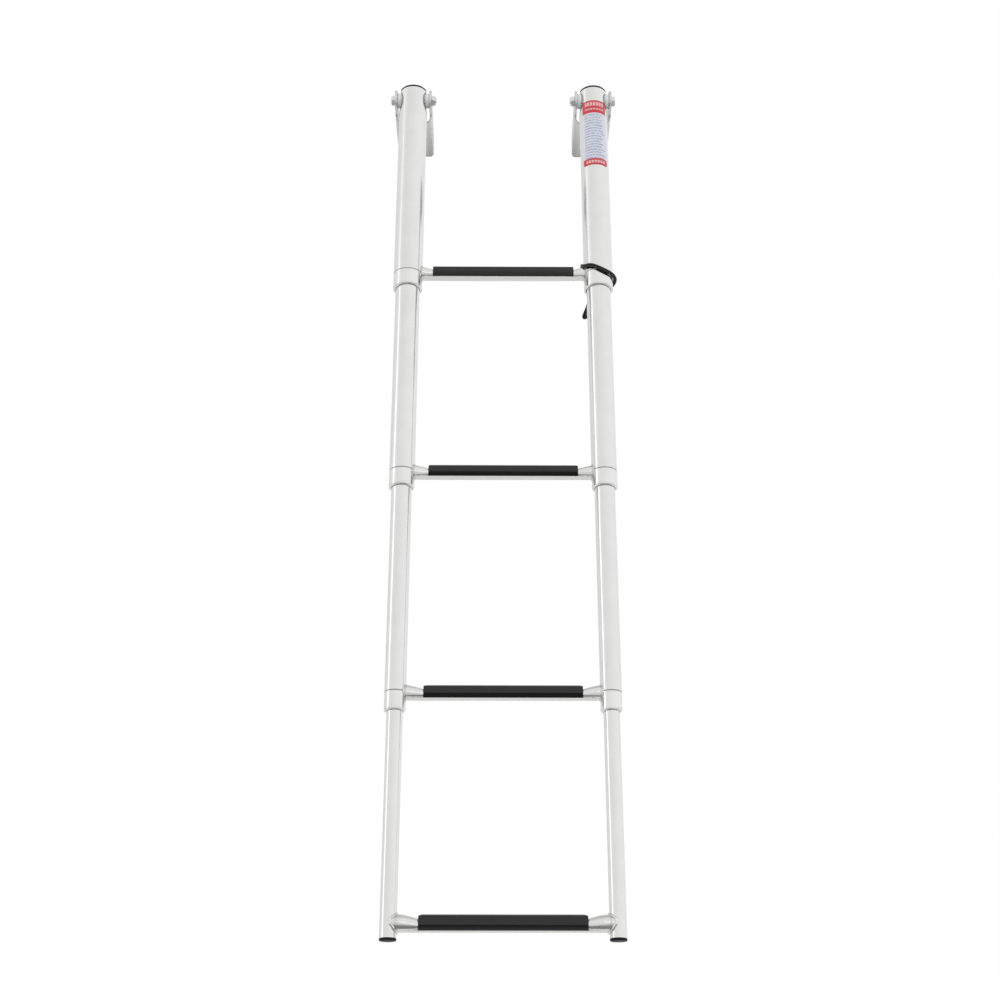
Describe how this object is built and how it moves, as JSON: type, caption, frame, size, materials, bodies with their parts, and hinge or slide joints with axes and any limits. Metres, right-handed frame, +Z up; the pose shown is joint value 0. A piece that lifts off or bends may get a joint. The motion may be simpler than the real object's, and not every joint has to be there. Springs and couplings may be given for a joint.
{
  "type": "telescoping boarding ladder",
  "caption": "Telescoping stainless boat ladder: nested tube rails with collars and treaded rungs, hung from bolted pivot brackets so it slides shut and swings up on deck.",
  "frame": {"origin": "centre of the eight deck bolt holes of the two brackets, on the deck plane", "axes": "+Z up along the hanging ladder's rails, +Y from the climber towards the boat, +X to the climber's right along the rungs"},
  "size_m": [0.3112, 0.1198, 1.149],
  "materials": {
    "tube_steel": "polished stainless steel tube",
    "collar_steel": "polished stainless steel",
    "rung_steel": "electropolished stainless steel",
    "bracket_steel": "satin stainless steel plate",
    "fastener_steel": "stainless steel fastener",
    "white_nylon": "white nylon",
    "black_nylon": "black nylon",
    "black_tread": "glossy black extruded plastic",
    "black_plug": "black moulded plastic",
    "black_rubber": "black rubber cord",
    "label_film": "printed film in plain red and pale grey bands"
  },
  "bodies": {
    "mounting": {"left_bracket": "bracket_steel", "right_bracket": "bracket_steel", "pivot_bolts": "fastener_steel", "pivot_lock_nuts": "fastener_steel", "pivot_spacers": "white_nylon"},
    "top_section": {"left_top_tube": "tube_steel", "right_top_tube": "tube_steel", "left_top_plug": "black_plug", "right_top_plug": "black_plug", "left_top_collar": "collar_steel", "right_top_collar": "collar_steel", "top_rung": "rung_steel", "top_tread": "black_tread", "left_top_bush": "black_nylon", "right_top_bush": "black_nylon", "retaining_cord": "black_rubber", "information_label": "label_film"},
    "second_section": {"left_second_tube": "tube_steel", "right_second_tube": "tube_steel", "left_second_collar": "collar_steel", "right_second_collar": "collar_steel", "second_rung": "rung_steel", "second_tread": "black_tread", "left_second_bush": "black_nylon", "right_second_bush": "black_nylon", "second_stop_rings": "black_nylon"},
    "third_section": {"left_third_tube": "tube_steel", "right_third_tube": "tube_steel", "left_third_collar": "collar_steel", "right_third_collar": "collar_steel", "third_rung": "rung_steel", "third_tread": "black_tread", "left_third_bush": "black_nylon", "right_third_bush": "black_nylon", "third_stop_rings": "black_nylon"},
    "bottom_section": {"left_bottom_tube": "tube_steel", "right_bottom_tube": "tube_steel", "bottom_rung": "rung_steel", "bottom_tread": "black_tread", "bottom_stop_rings": "black_nylon", "left_foot": "black_plug", "right_foot": "black_plug"}
  },
  "joints": [
    {"name": "swing", "type": "hinge", "parent": "mounting", "child": "top_section", "pos_m": [0, -0.061, 0.0225], "axis": [-1, 0, 0], "range_deg": [-10, 270]},
    {"name": "second_slide", "type": "slide", "parent": "top_section", "child": "second_section", "axis": [0, 0, 1], "range_m": [0, 0.2525]},
    {"name": "third_slide", "type": "slide", "parent": "second_section", "child": "third_section", "axis": [0, 0, 1], "range_m": [0, 0.2495]},
    {"name": "bottom_slide", "type": "slide", "parent": "third_section", "child": "bottom_section", "axis": [0, 0, 1], "range_m": [0, 0.225]}
  ]
}
